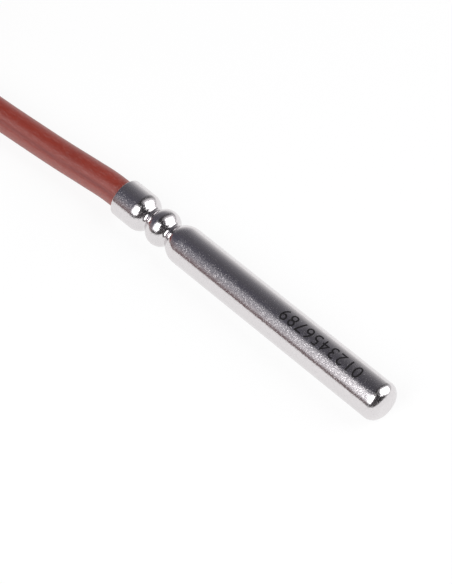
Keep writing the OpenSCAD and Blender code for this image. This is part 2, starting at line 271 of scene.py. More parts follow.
@dataclass(frozen=True)
class Silicone(Finish):
    """Satin silicone rubber with a fine skin, a slow change of tone and a little pale dust."""

    name: str
    colour: Colour
    dust: Colour
    dustiness: float = 0.3
    roughness: float = 0.50
    shine: float = 0.5
    index: float = 1.45
    deep_share: float = 0.90
    # Painted shade: the share of each colour channel that is left in the crease valleys.
    crease_shade_share: Colour = (0.62, 0.25, 0.20)
    relief: float = 0.000030

    def shade(self, tree: Tree) -> None:
        """Skin drives the relief, dust lies in fine specks and streaks, and creases get painted
        shade.

        Args:
            tree: the empty tree.
        """
        skin = tree.noise(tree.place(), 9000.0, 3.0, 0.6)
        wave = tree.noise(tree.place((500, 2200, 2200)), 1.0)
        tone = tree.noise(tree.place(), 180.0, 3.0, 0.55)
        streaks = tree.step(tree.noise(tree.place((900, 3200, 3200)), 1.0, 3.0, 0.6), 0.45, 0.8)
        specks = tree.specks(tree.place(), 3400.0, 0.16)
        chalk = tree.step(tree.noise(tree.place(), 5200.0, rough=0.6), 0.50, 0.80)
        patches = 0.6 * specks * tree.step(tone, 0.4, 0.65)
        dust = self.dustiness * (0.4 * streaks + 0.3 * chalk + patches)
        deep = tuple(self.deep_share * part for part in self.colour)
        body = tree.mix(tree.step(tone, 0.3, 0.7), deep, self.colour)
        crease = Value(tree, tree.node("Attribute", {"attribute_name": CREASE}).outputs["Fac"])
        crease = crease * (0.5 + 0.5 * tree.step(tone, 0.40, 0.60))
        # Painted shade: the crease valleys take a darker, redder copy of the colour and lose their
        # dust.
        painted_crease_shade = tuple(part * share for part, share in zip(self.colour, self.crease_shade_share))
        body = tree.mix(0.8 * crease, body, painted_crease_shade)
        tree.principled({
            "Base Color": tree.mix(dust * (1 - crease), body, self.dust),
            "Roughness": self.roughness + 0.10 * (skin - 0.5) + 0.06 * streaks,
            "Specular IOR Level": self.shine,
            "IOR": self.index,
            "Normal": tree.bump(0.4 * skin + 0.6 * wave, self.relief),
        })


@dataclass(frozen=True)
class Grained(Finish):
    """A plain material with a fine grain in its colour, gloss and relief."""

    name: str
    colour: Colour
    roughness: float
    metallic: float = 0.0
    grain: float = 0.12
    scale: float = 5000.0
    relief: float = 0.000004

    def shade(self, tree: Tree) -> None:
        """One noise darkens the colour, dulls the gloss and lifts the surface.

        Args:
            tree: the empty tree.
        """
        fine = tree.noise(tree.place(), self.scale, 3.0, 0.6)
        dark = tuple((1 - self.grain) * part for part in self.colour)
        tree.principled({
            "Base Color": tree.mix(fine, dark, self.colour),
            "Metallic": self.metallic,
            "Roughness": self.roughness + 0.5 * self.grain * (fine - 0.5),
            "Normal": tree.bump(fine, self.relief),
        })


@dataclass(frozen=True)
class PaleFloor(Finish):
    """The plain pale ground. Most of what is seen of it is its own flat tone, so it stays even."""

    name: str = "pale_floor"
    colour: Colour = (0.93, 0.93, 0.93)
    flat_share: float = 0.88

    def shade(self, tree: Tree) -> None:
        """Seen straight, in metal or through glass, a flat white is mixed over the lit surface.

        Args:
            tree: the empty tree.
        """
        ray = tree.node("LightPath")
        kinds = ("Camera", "Glossy", "Transmission")
        seen = [Value(tree, ray.outputs[f"Is {kind} Ray"]) for kind in kinds]
        share = self.flat_share * tree.math("MINIMUM", seen[0] + seen[1] + seen[2], 1.0)
        lit = tree.node("BsdfDiffuse", None, {"Color": self.colour})
        flat = tree.node("Emission", None, {"Color": (1.0, 1.0, 1.0), "Strength": 1.0})
        both = tree.node("MixShader", None, {0: share, 1: lit.outputs[0], 2: flat.outputs[0]})
        tree.node("OutputMaterial", None, {"Surface": both.outputs[0]})


class Look(Enum):
    """The finishes of the part, by what each one covers."""

    STEEL = DrawnSteel()
    PRINT = Print()
    JACKET = Silicone(
        "brick_silicone", (0.246, 0.017, 0.003), (0.48, 0.25, 0.23),
        dustiness=0.42, roughness=0.41, shine=1.0, index=1.60,
    )
    WHITE_CORE = Silicone("white_silicone", (0.80, 0.79, 0.75), (0.86, 0.85, 0.82), 0.2, 0.40)
    RED_CORE = Silicone("red_silicone", (0.50, 0.022, 0.015), (0.55, 0.20, 0.17), 0.2, 0.40)
    STRANDS = Grained("tinned_strands", (0.74, 0.72, 0.69), 0.34, 1.0, 0.25, 9000.0)
    FERRULE = Grained("tinned_ferrule", (0.78, 0.77, 0.75), 0.34, 1.0, 0.15, 7000.0)
    NYLON = Grained("black_nylon", (0.028, 0.028, 0.030), 0.38, 0.0, 0.3, 3500.0, 0.000012)
    LINER = Grained("amber_liner", (0.60, 0.42, 0.16), 0.34, 0.0, 0.15)
    COMPOUND = Grained("set_compound", (0.72, 0.72, 0.69), 0.62, 0.0, 0.2, 4000.0, 0.00002)
    ALUMINA = Grained("white_alumina", (0.84, 0.84, 0.82), 0.45, 0.0, 0.08, 16000.0)
    PLATINUM = Grained("platinum_film", (0.68, 0.67, 0.64), 0.30, 1.0, 0.15, 20000.0)
    GLASS = Grained("fired_glass", (0.55, 0.64, 0.70), 0.12, 0.0, 0.10, 6000.0)
    SPLICE = Grained("crimped_brass", (0.70, 0.52, 0.24), 0.30, 1.0, 0.2, 6000.0)
    DARK_TUBE = Grained("shrunk_tube", (0.035, 0.035, 0.036), 0.48, 0.0, 0.25, 4000.0, 0.00001)

    def cover(self, piece: bpy.types.Object) -> None:
        """Gives a piece this finish alone."""
        piece.data.materials.clear()
        piece.data.materials.append(self.value.material())


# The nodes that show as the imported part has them, by look.
INNER_NODES: dict[Look, tuple[str, ...]] = {
    Look.LINER: ("insulating_liner", "lead_tube_a", "lead_tube_b"),
    Look.COMPOUND: ("thermal_compound",),
    Look.ALUMINA: ("sensor_substrate",),
    Look.PLATINUM: ("platinum_track", "sensor_lead_a", "sensor_lead_b"),
    Look.GLASS: ("cover_glass", "lead_bead"),
    Look.SPLICE: ("splice_a", "splice_b"),
    Look.DARK_TUBE: ("splice_tube_a", "splice_tube_b"),
    Look.WHITE_CORE: ("core_white",),
    Look.RED_CORE: ("core_red_1", "core_red_2"),
    Look.STRANDS: ("conductor_white", "conductor_red_1", "conductor_red_2"),
}


def add_object(name: str, data: bpy.types.ID) -> bpy.types.Object:
    """Adds an object to the scene.

    Args:
        name: its name.
        data: its mesh, curve, lamp or camera.

    Returns:
        The object.
    """
    made = bpy.data.objects.new(name, data)
    bpy.context.scene.collection.objects.link(made)
    return made


def grid_mesh(name: str, points: Array, ring_closed: bool = True) -> bpy.types.Object:
    """A smooth surface through a grid of points, closed around and capped at both ends.

    The faces run (i, j), (i, j + 1), (i + 1, j + 1), (i + 1, j), so they point outwards where the
    rings turn counter-clockwise about the way that they follow each other.

    Args:
        name: the new object's name.
        points: rings along the first axis, points around along the second, then X, Y and Z.
        ring_closed: False if the last ring joins the first one in place of the caps.

    Returns:
        The object, linked to the scene.
    """
    rings, around = points.shape[:2]
    spans = rings - 1 if ring_closed else rings
    i, j = np.meshgrid(np.arange(spans), np.arange(around), indexing="ij")
    low, high = i * around, (i + 1) % rings * around
    quads = np.stack([low + j, low + (j + 1) % around, high + (j + 1) % around, high + j], axis=-1)
    faces = quads.reshape(-1, 4).tolist()
    if ring_closed:
        faces.append(list(range(around - 1, -1, -1)))
        faces.append(list(range((rings - 1) * around, rings * around)))
    mesh = bpy.data.meshes.new(name)
    mesh.from_pydata(points.reshape(-1, 3), [], faces)
    mesh.validate()
    mesh.shade_smooth()
    return add_object(name, mesh)


def finish_piece(
    piece: bpy.types.Object, look: Look, slot: str | None, *nodes: str,
) -> bpy.types.Object:
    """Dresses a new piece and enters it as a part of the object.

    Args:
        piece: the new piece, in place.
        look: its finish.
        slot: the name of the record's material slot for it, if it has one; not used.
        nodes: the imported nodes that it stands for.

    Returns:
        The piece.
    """
    look.cover(piece)
    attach(piece, BODY)
    if nodes:
        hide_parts(*nodes)
    log.info("%s: %d points, %s", piece.name, len(piece.data.vertices), look.name.lower())
    return piece


def full_turn(count: int) -> Array:
    """Evenly spaced angles once round, in radians."""
    return np.linspace(0, 2 * np.pi, count, endpoint=False)


def run_along(path: Array) -> Array:
    """How far along a line each of its points lies."""
    steps = np.linalg.norm(np.diff(path, axis=0), axis=1)
    return np.concatenate([[0], np.cumsum(steps)])


def arc(centre: Array, radius: float, start: float, end: float, count: int) -> Array:
    """Points on an arc, its angles in radians: centre + radius * (cos a, sin a)."""
    a = np.linspace(start, end, count)
    return np.asarray(centre) + radius * np.stack([np.cos(a), np.sin(a)], axis=-1)


def line(start: tuple[float, float], end: tuple[float, float], count: int) -> Array:
    """Evenly spaced points between two points of a plane, without the two ends."""
    share = np.linspace(0, 1, count + 2)[1:-1, None]
    return np.asarray(start) * (1 - share) + np.asarray(end) * share


def lathe(profile: Array, origin: Vector, around: int) -> Array:
    """A profile turned about an axis along X: X = distance, (Y, Z) = radius * (cos q, sin q).

    Args:
        profile: (radius, distance) rows.
        origin: the point of the axis at distance 0.
        around: points on each ring.

    Returns:
        The grid of points.
    """
    q = full_turn(around)
    radius, distance = profile[:, :1], profile[:, 1:]
    ring = [distance + 0 * q, radius * np.cos(q), radius * np.sin(q)]
    return np.stack(ring, axis=-1) + np.array(origin)


def sweep(path: Array, radius: Array | float, around: int) -> Array:
    """A tube along a path that never stands upright.

    At each point the section lies in the plane of side = Z x tangent and up = tangent x side, and
    a point of it is path + radius * (cos q * side + sin q * up).

    Args:
        path: the middle line, one point to a row.
        radius: one radius, or one for each ring and angle.
        around: points on each ring.

    Returns:
        The grid of points.
    """
    tangent = np.gradient(path, axis=0)
    tangent /= np.linalg.norm(tangent, axis=1, keepdims=True)
    side = np.cross([0.0, 0.0, 1.0], tangent)
    side /= np.linalg.norm(side, axis=1, keepdims=True)
    up = np.cross(tangent, side)
    q = full_turn(around)[None, :, None]
    radius = np.broadcast_to(radius, (len(path), around))[:, :, None]
    return path[:, None] + radius * (np.cos(q) * side[:, None] + np.sin(q) * up[:, None])


def spaced(path: Array, gap: Array | float) -> Array:
    """The same line with its points moved so that they lie about a gap apart.

    Args:
        path: closely spaced points.
        gap: the distance between points, one value or one for each given point.

    Returns:
        The new points.
    """
    length = run_along(path)
    count = np.concatenate([[0], np.cumsum(np.diff(length) / np.broadcast_to(gap, len(path))[1:])])
    wanted = np.linspace(0, count[-1], int(round(count[-1])) + 1)
    at = np.interp(wanted, count, length)
    return np.stack([np.interp(at, length, path[:, k]) for k in range(3)], axis=-1)


def through(points: Array, count: int) -> Array:
    """A smooth line through a few points: cubic Hermite spans with chord-weighted slopes.

    Args:
        points: the given points.
        count: new points on each span.

    Returns:
        The line's points.
    """
    chord = np.linalg.norm(np.diff(points, axis=0), axis=1)
    at = np.concatenate([[0], np.cumsum(chord)])
    slope = np.gradient(points, at, axis=0)
    s = np.linspace(0, 1, count, endpoint=False)[None, :, None]
    a, b = points[:-1, None], points[1:, None]
    m, n = slope[:-1, None] * chord[:, None, None], slope[1:, None] * chord[:, None, None]
    curve = (
        (1 + 2 * s) * (1 - s) ** 2 * a + s * (1 - s) ** 2 * m
        + s ** 2 * (3 - 2 * s) * b + s ** 2 * (s - 1) * n
    )
    return np.vstack([curve.reshape(-1, 3), points[-1:]])


@dataclass
class Sleeve:
    """The drawn sleeve with its rolled crimp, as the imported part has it."""

    wall: float = 0.35 * MM
    tip_round: float = 1.65 * MM
    mouth_round: float = 0.12 * MM
    collar: float = 3.6 * MM
    collar_arc_r: float = 2.4 * MM
    bead_at: float = 8.0 * MM
    bead_drop: float = 0.12 * MM
    bead_arc_r: float = 2.1 * MM
    barrel_at: float = 12.8 * MM
    barrel_arc_r: float = 3.4 * MM
    groove_r: float = 0.6 * MM
    lip_round: float = 0.08 * MM

    def __post_init__(self) -> None:
        """Takes the sleeve's radius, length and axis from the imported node."""
        low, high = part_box("protective_sleeve")
        self.radius = (high.z - low.z) / 2
        self.length = high.x - low.x
        self.mouth = Vector((low.x, (low.y + high.y) / 2, (low.z + high.z) / 2))
        self.bore = self.radius - self.wall

    def _touching(self, a: Array, ra: float, b: Array, rb: float) -> Array:
        """Centre of the groove circle that touches two circles from outside, away from the axis.

        Args:
            a: the first circle's centre.
            ra: its radius.
            b: the second circle's centre.
            rb: its radius.

        Returns:
            The groove's centre.
        """
        gap = np.linalg.norm(b - a)
        e = (b - a) / gap
        ra, rb = ra + self.groove_r, rb + self.groove_r
        m = (ra ** 2 - rb ** 2 + gap ** 2) / (2 * gap)
        return a + m * e + math.sqrt(ra ** 2 - m ** 2) * np.array([e[1], -e[0]])

    def rolled(self, depth: float, fine: int) -> Array:
        """The crimp's section from the collar to the barrel, at a depth under its surface.

        Each bump is an arc, and each groove is an arc that touches the bumps beside it.

        Args:
            depth: distance under the outer surface.
            fine: points on the longest arc.

        Returns:
            (radius, distance) rows.
        """
        bead = self.radius - self.bead_drop
        bumps = [
            (np.array([self.radius - self.collar_arc_r, self.collar]), self.collar_arc_r),
            (np.array([bead - self.bead_arc_r, self.bead_at]), self.bead_arc_r),
            (np.array([self.radius - self.barrel_arc_r, self.barrel_at]), self.barrel_arc_r),
        ]
        grooves = [self._touching(*bumps[k], *bumps[k + 1]) for k in (0, 1)]

        def angle(start: Array, end: Array) -> float:
            """Angle of the way from one centre to another."""
            return math.atan2(end[1] - start[1], end[0] - start[0])

        whole = 2 * math.pi
        rows, start = [], 0.0
        for k, groove in enumerate(grooves):
            centre, r = bumps[k]
            rows.append(arc(centre, r - depth, start, angle(centre, groove), fine))
            turn = (angle(groove, centre) % whole, angle(groove, bumps[k + 1][0]) % whole)
            rows.append(arc(groove, self.groove_r + depth, *turn, fine // 3)[1:-1])
            start = angle(bumps[k + 1][0], groove)
        centre, r = bumps[2]
        rows.append(arc(centre, r - depth, start, 0.0, fine))
        return np.vstack(rows)

    def tip(self, depth: float, fine: int) -> Array:
        """The rounded tip and its flat end face, at a depth under the surface.

        Args:
            depth: distance under the outer surface.
            fine: points on the rounding.

        Returns:
            (radius, distance) rows.
        """
        centre = (self.radius - self.tip_round, self.length - self.tip_round)
        rounding = arc(centre, self.tip_round - depth, 0.0, math.pi / 2, fine)
        flat = line(tuple(rounding[-1]), (0.0, self.length - depth), 5)
        return np.vstack([rounding, flat])

    def profile(self) -> Array:
        """The whole wall's section, from the inside of the tip out to the mouth and back.

        Returns:
            (radius, distance) rows.
        """
        small, large = self.lip_round, self.mouth_round
        tip_at = self.length - self.tip_round
        inner = np.vstack([
            np.array([[self.bore, small]]),
            line((self.bore, small), (self.bore, self.collar), 6),
            self.rolled(self.wall, 16),
            line((self.bore, self.barrel_at), (self.bore, tip_at), 24),
            self.tip(self.wall, 8),
        ])[::-1]
        lip = np.vstack([
            arc((self.bore + small, small), small, math.pi, 1.5 * math.pi, 5)[1:],
            arc((self.radius - large, large), large, -math.pi / 2, 0.0, 9),
        ])
        outer = np.vstack([
            line((self.radius, large), (self.radius, self.collar), 16),
            self.rolled(0.0, 54),
            line((self.radius, self.barrel_at), (self.radius, tip_at), 70),
            self.tip(0.0, 40),
        ])
        return np.vstack([inner, lip, outer])

    def build(self) -> bpy.types.Object:
        """The sleeve as one closed wall."""
        piece = grid_mesh("sleeve", lathe(self.profile(), self.mouth, 160))
        return finish_piece(piece, Look.STEEL, "stainless", "protective_sleeve")


@dataclass
class Numerals:
    """A plain row of numerals printed along the top of the sleeve, read towards the mouth."""

    sleeve: Sleeve
    characters: str = "0123456789"
    row_length: float = 14.9 * MM
    height: float = 1.95 * MM
    from_tip: float = 4.8 * MM
    turned: float = 5.0
    spacing: float = 1.12
    proud: float = 0.008 * MM
    cuts: int = 24

    def outline(self) -> bmesh.types.BMesh:
        """Flat numerals, centred, cut across their height so that they can bend.

        Returns:
            The numerals in the XY plane.
        """
        curve = bpy.data.curves.new("numeral_outline", "FONT")
        curve.body = self.characters
        curve.align_x = "CENTER"
        curve.space_character = self.spacing
        holder = add_object("numeral_outline", curve)
        bpy.context.view_layer.update()
        solved = holder.evaluated_get(bpy.context.evaluated_depsgraph_get())
        flat = bpy.data.meshes.new_from_object(solved)
        shape = bmesh.new()
        shape.from_mesh(flat)
        bpy.data.objects.remove(holder)
        bpy.data.meshes.remove(flat)
        bpy.data.curves.remove(curve)
        co = np.array([v.co for v in shape.verts])
        low, high = co.min(0), co.max(0)
        size = (self.row_length / (high[0] - low[0]), self.height / (high[1] - low[1]), 1.0)
        bmesh.ops.translate(shape, verts=shape.verts, vec=-Vector((low + high) / 2))
        bmesh.ops.scale(shape, verts=shape.verts, vec=size)
        for at in np.linspace(-0.5, 0.5, self.cuts)[1:-1] * self.height:
            everything = shape.verts[:] + shape.edges[:] + shape.faces[:]
            bmesh.ops.bisect_plane(shape, geom=everything, plane_co=(0, at, 0), plane_no=(0, 1, 0))
        return shape

    def build(self) -> bpy.types.Object:
        """The print: text X runs along -X, and text Y round the sleeve from its top towards -Y.

        Returns:
            The numerals.
        """
        shape = self.outline()
        mesh = bpy.data.meshes.new("numerals")
        shape.to_mesh(mesh)
        shape.free()
        flat = np.empty(len(mesh.vertices) * 3)
        mesh.vertices.foreach_get("co", flat)
        flat = flat.reshape(-1, 3)
        radius = self.sleeve.radius + self.proud
        turn = flat[:, 1] / self.sleeve.radius + math.radians(self.turned)
        middle = self.sleeve.mouth.x + self.sleeve.length - self.from_tip - self.row_length / 2
        bent = np.stack([
            middle - flat[:, 0],
            self.sleeve.mouth.y - radius * np.sin(turn),
            self.sleeve.mouth.z + radius * np.cos(turn),
        ], axis=-1)
        mesh.vertices.foreach_set("co", bent.ravel())
        piece = add_object("numerals", mesh)
        skin = piece.modifiers.new("thickness", "SOLIDIFY")
        skin.thickness = 3 * self.proud
        skin.offset = -1.0
        return finish_piece(piece, Look.PRINT, None)


@dataclass
class Hank:
    """Sizes and places of the folded cable: two columns of turns in three layers."""

    cable_d: float
    straight: float = 45 * MM
    inner_turn_r: float = 10.5 * MM
    jacket_end: float = 7.75 * MM
    side_degrees: float = 202.0
    change_degrees: float = 100.0
    fine: int = 1200

    def __post_init__(self) -> None:
        """Takes the hank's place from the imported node."""
        low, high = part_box("cable_hank")
        self.outer_turn_r = self.inner_turn_r + self.cable_d
        outside = self.outer_turn_r + self.cable_d / 2
        self.far_x = low.x + outside
        self.near_x = self.far_x + self.straight
        self.middle_y = low.y + outside
        self.low_z = low.z + self.cable_d / 2
        self.end_x = self.far_x + self.jacket_end
        self.end_y = self.middle_y - self.inner_turn_r
        self.end_z = self.low_z + 2 * self.cable_d

    @staticmethod
    def _eased(share: Array) -> Array:
        """From 0 to 1 with constant curvature each way: 2 s^2, then 1 - 2 (1 - s)^2."""
        s = np.clip(share, 0, 1)
        return np.where(s < 0.5, 2 * s ** 2, 1 - 2 * (1 - s) ** 2)

    def turn(
        self, stations: Array, r: tuple[float, float], layer: tuple[int, int], window: float,
    ) -> Array:
        """Points of one turn, from the near end of the +Y side round to the same place.

        Stations 0 to 1 are the +Y side, 1 to 2 the far arc, 2 to 3 the -Y side and 3 to 4 the near
        arc. The turn changes its radius or its layer over change_degrees from a given angle of the
        near arc, where a side counts as side_degrees, so that each turn has moved before the next
        one takes its place.

        Args:
            stations: the places to work out, from 0 to 4.
            r: radius before and after the change.
            layer: layer before and after the change.
            window: the angle at which the change starts, in degrees.

        Returns:
            The points.
        """
        degrees = np.where(stations < 3, self.side_degrees, 180.0) * (stations - 3)
        share = self._eased((degrees - window) / self.change_degrees)
        radius = r[0] + (r[1] - r[0]) * share
        z = self.low_z + self.cable_d * (layer[0] + (layer[1] - layer[0]) * share)
        far = np.pi * (np.clip(stations, 1, 2) - 1)
        near = np.pi * (np.clip(stations, 3, 4) - 3)
        angle = far + near
        x = self.near_x - self.straight * np.clip(stations, 0, 1)
        x = x + self.straight * (np.clip(stations, 2, 3) - 2)
        x = x - radius * np.sin(far) + radius * np.sin(near)
        y = self.middle_y + radius * np.cos(angle)
        return np.stack([x, y, z], axis=-1)

    def winding(self) -> Array:
        """All six turns. Each entry gives the radii, the layers and where the change starts.

        Returns:
            The middle line of the turns.
        """
        inside, outside = self.inner_turn_r, self.outer_turn_r
        turns = [
            ((outside, inside), (0, 0), 59.0),
            ((inside, inside), (0, 1), 38.0),
            ((inside, outside), (1, 1), 17.0),
            ((outside, outside), (1, 2), -4.0),
            ((outside, inside), (2, 2), -25.0),
        ]
        stations = np.linspace(0, 4, self.fine, endpoint=False)
        rows = [self.turn(stations, *each) for each in turns]
        last = np.linspace(0, 2 + self.jacket_end / self.straight, self.fine // 2)
        rows.append(self.turn(last, (inside, inside), (2, 2), 0.0))
        return np.vstack(rows)


@dataclass
class Cable:
    """The silicone cable: a jacket that shows its three cores as soft flutes."""

    sleeve: Sleeve
    length: float = 1.0
    diameter: float = 4.5 * MM
    flute: float = 0.042
    crease_angle: float = 33.0
    lay: float = 2000 * MM
    sharpness: int = 28
    around: int = 72
    near_mouth: float = 40 * MM
    near_step: float = 0.35 * MM
    far_step: float = 0.9 * MM
    crimp_gap: float = 0.01 * MM
    # Points of the loose stretch, measured from the mouth's X and from the surface.
    route: tuple[tuple[float, float, float], ...] = (
        (0, 0, 3), (-3, -0.05, 3), (-7, -0.35, 2.8), (-13, -0.85, 2.45),
        (-19.5, -1.35, 2.25), (-26, -1.9, 2.25), (-31, -2.25, 2.35), (-36, -2.4, 2.65),
    )

    def __post_init__(self) -> None:
        """Works out the hank that the spare cable is folded into."""
        self.hank = Hank(self.diameter)

    def path(self) -> Array:
        """The middle line: out of the collar, along the loose stretch and through the hank.

        Returns:
            The points, the first one inside the collar.
        """
        loose = np.array(self.route) * MM + np.array([self.sleeve.mouth.x, 0, 0])
        collar = self.sleeve.collar
        inside = np.array(self.sleeve.mouth) + [[collar, 0, 0], [0.3 * collar, 0, 0]]
        entry = [[self.hank.near_x, loose[-1, 1], loose[-1, 2]]]
        free = through(np.vstack([inside, loose, entry]), 60)[:-1]
        whole = np.vstack([free, self.hank.winding()])
        near = whole[:, 0] > self.sleeve.mouth.x - self.near_mouth
        return spaced(whole, np.where(near, self.near_step, self.far_step))

    def section(self, path: Array) -> tuple[Array, Array]:
        """Radius of the jacket for each ring and angle, and how deep in a valley each point lies.

        It is the round radius less a narrow valley at three angles, which turn with the lay of the
        cores: depth * ((1 + cos 3 (q - turn)) / 2) ^ sharpness.

        Args:
            path: the middle line.

        Returns:
            The radii, and the depth from 0 to 1.
        """
        q = full_turn(self.around)[None]
        turn = math.radians(self.crease_angle) + 2 * np.pi * run_along(path)[:, None] / self.lay
        valley = ((1 + np.cos(3 * (q - turn))) / 2) ** self.sharpness
        return self.diameter / 2 * (1 - self.flute * valley), valley

    def jacket_end(self) -> bpy.types.Object:
        """The jacket past the collar, necked by both grooves of the sleeve.

        Returns:
            The piece.
        """
        low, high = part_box("cable_jacket_end")
        rolled = self.sleeve.rolled(self.sleeve.wall + self.crimp_gap, 16)
        rolled[:, 0] = np.minimum(rolled[:, 0], self.diameter / 2)
        end = np.array([[self.diameter / 2, high.x - low.x]])
        piece = grid_mesh("jacket_end", lathe(np.vstack([rolled, end]), self.sleeve.mouth, 64))
        return finish_piece(piece, Look.JACKET, "jacket", "cable_jacket_end")

    def build(self, others: list[bpy.types.Object]) -> bpy.types.Object:
        """The free cable from the collar to its stripped end.

        Args:
            others: the ties, stripped cores and ferrules on it; not used.

        Returns:
            The cable.
        """
        path = self.path()
        radii, valley = self.section(path)
        piece = grid_mesh("cable", sweep(path, radii, self.around))
        # The valley depth, which the jacket's material reads to paint shade into the creases.
        depth = piece.data.attributes.new(CREASE, "FLOAT", "POINT")
        depth.data.foreach_set("value", valley.ravel().astype(np.float32))
        finish_piece(piece, Look.JACKET, "jacket", "cable_run", "cable_hank")
        return piece


class Core(Enum):
    """The three stripped cores: the end of their nodes' names, their look and their slot."""

    WHITE = ("white", Look.WHITE_CORE, "white_silicone")
    RED_1 = ("red_1", Look.RED_CORE, "red_silicone")
    RED_2 = ("red_2", Look.RED_CORE, "red_silicone")


@dataclass
class StrippedEnd:
    """Three insulated cores that leave the cut jacket, each ending in a wire ferrule."""

    hank: Hank
    core_d: float = 1.2 * MM
    strand_d: float = 0.6 * MM
    ring_r: float = 0.70 * MM
    ease_run: float = 15 * MM
    core_inside: float = 1.0 * MM
    wire_inside: float = 0.5 * MM
    wire_short: float = 0.02 * MM
    strands: int = 7
    strand_dip: float = 0.10
    crimp_depth: float = 0.10
    crimp_base: float = 0.35
    crimp_middles: tuple[float, float] = (0.32, 0.70)
    crimp_half: float = 0.13
    crimp_slope: float = 0.05
    sway: float = 0.10 * MM
    sway_run: float = 3.1 * MM
    strand_lay: float = 6 * MM
    ferrule_wall: float = 0.18 * MM

    def path(self, index: int, start: float, end: float) -> Array:
        """A core's middle line: it eases from its place in the jacket to its ferrule's place.

        Args:
            index: 0 for white, 1 and 2 for the reds.
            start: first X.
            end: last X.

        Returns:
            The points.
        """
        core = list(Core)[index]
        low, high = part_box(f"ferrule_{core.value[0]}")
        lies = np.array([(low.y + high.y) / 2, (low.z + high.z) / 2])
        angle = math.radians(-90 + 120 * index)
        leaves = np.array([self.hank.end_y, self.hank.end_z])
        leaves = leaves + self.ring_r * np.array([math.sin(angle), -math.cos(angle)])
        x = np.linspace(start, end, 90)
        share = np.clip((x - self.hank.end_x) / self.ease_run, 0, 1)
        share = (share ** 2 * (3 - 2 * share))[:, None]
        wave = np.sin((x - self.hank.end_x) / self.sway_run + index)[:, None]
        swing = self.sway * wave * share * (1 - share) * 4
        flat = leaves * (1 - share) + lies * share + swing * np.array([1.0, 0.0])
        return np.column_stack([x, flat])

    def ferrule_section(self, count: int, around: int, radius: float) -> Array:
        """Radius of a ferrule: round, pressed nearly square by two crimps.

        The pressed radius is radius * (1 - depth * window * (base + |cos 2q|)), and the window is 1
        under both crimps and 0 elsewhere, with short slopes between them.

        Args:
            count: rings.
            around: points on each ring.
            radius: the round radius.

        Returns:
            The radii.
        """
        q = full_turn(around)[None]
        s = np.linspace(0, 1, count)[:, None]
        away = [np.abs(s - middle) for middle in self.crimp_middles]
        window = sum(np.clip((self.crimp_half - each) / self.crimp_slope, 0, 1) for each in away)
        return radius * (1 - self.crimp_depth * window * (self.crimp_base + np.abs(np.cos(2 * q))))

    def build(self) -> list[bpy.types.Object]:
        """The cores, their conductors and their ferrules.

        Returns:
            The nine pieces.
        """
        made = []
        for index, core in enumerate(Core):
            name, look, slot = core.value
            _, core_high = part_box(f"tail_core_{name}")
            low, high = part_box(f"ferrule_{name}")
            run = self.path(index, self.hank.end_x - self.core_inside, core_high.x)
            piece = grid_mesh(f"stripped_core_{name}", sweep(run, self.core_d / 2, 24))
            made.append(finish_piece(piece, look, slot, f"tail_core_{name}"))
            run = self.path(index, self.hank.end_x - self.wire_inside, high.x - self.wire_short)
            q = full_turn(42)[None]
            lay = 2 * np.pi * (run[:, :1] - run[0, 0]) / self.strand_lay
            dip = self.strand_dip * (1 - np.abs(np.cos(self.strands / 2 * (q - lay))))
            wire = sweep(run, self.strand_d / 2 * (1 - dip), 42)
            piece = grid_mesh(f"stripped_conductor_{name}", wire)
            node = f"tail_conductor_{name}"
            made.append(finish_piece(piece, Look.STRANDS, "tinned_copper", node))
            run = self.path(index, low.x, high.x)
            outer = self.ferrule_section(len(run), 48, (high.z - low.z) / 2)
            inner = outer - self.ferrule_wall
            wall = np.vstack([sweep(run, inner, 48)[::-1], sweep(run, outer, 48)])
            piece = grid_mesh(f"wire_ferrule_{name}", wall, ring_closed=False)
            made.append(finish_piece(piece, Look.FERRULE, "ferrule_metal", f"ferrule_{name}"))
        return made


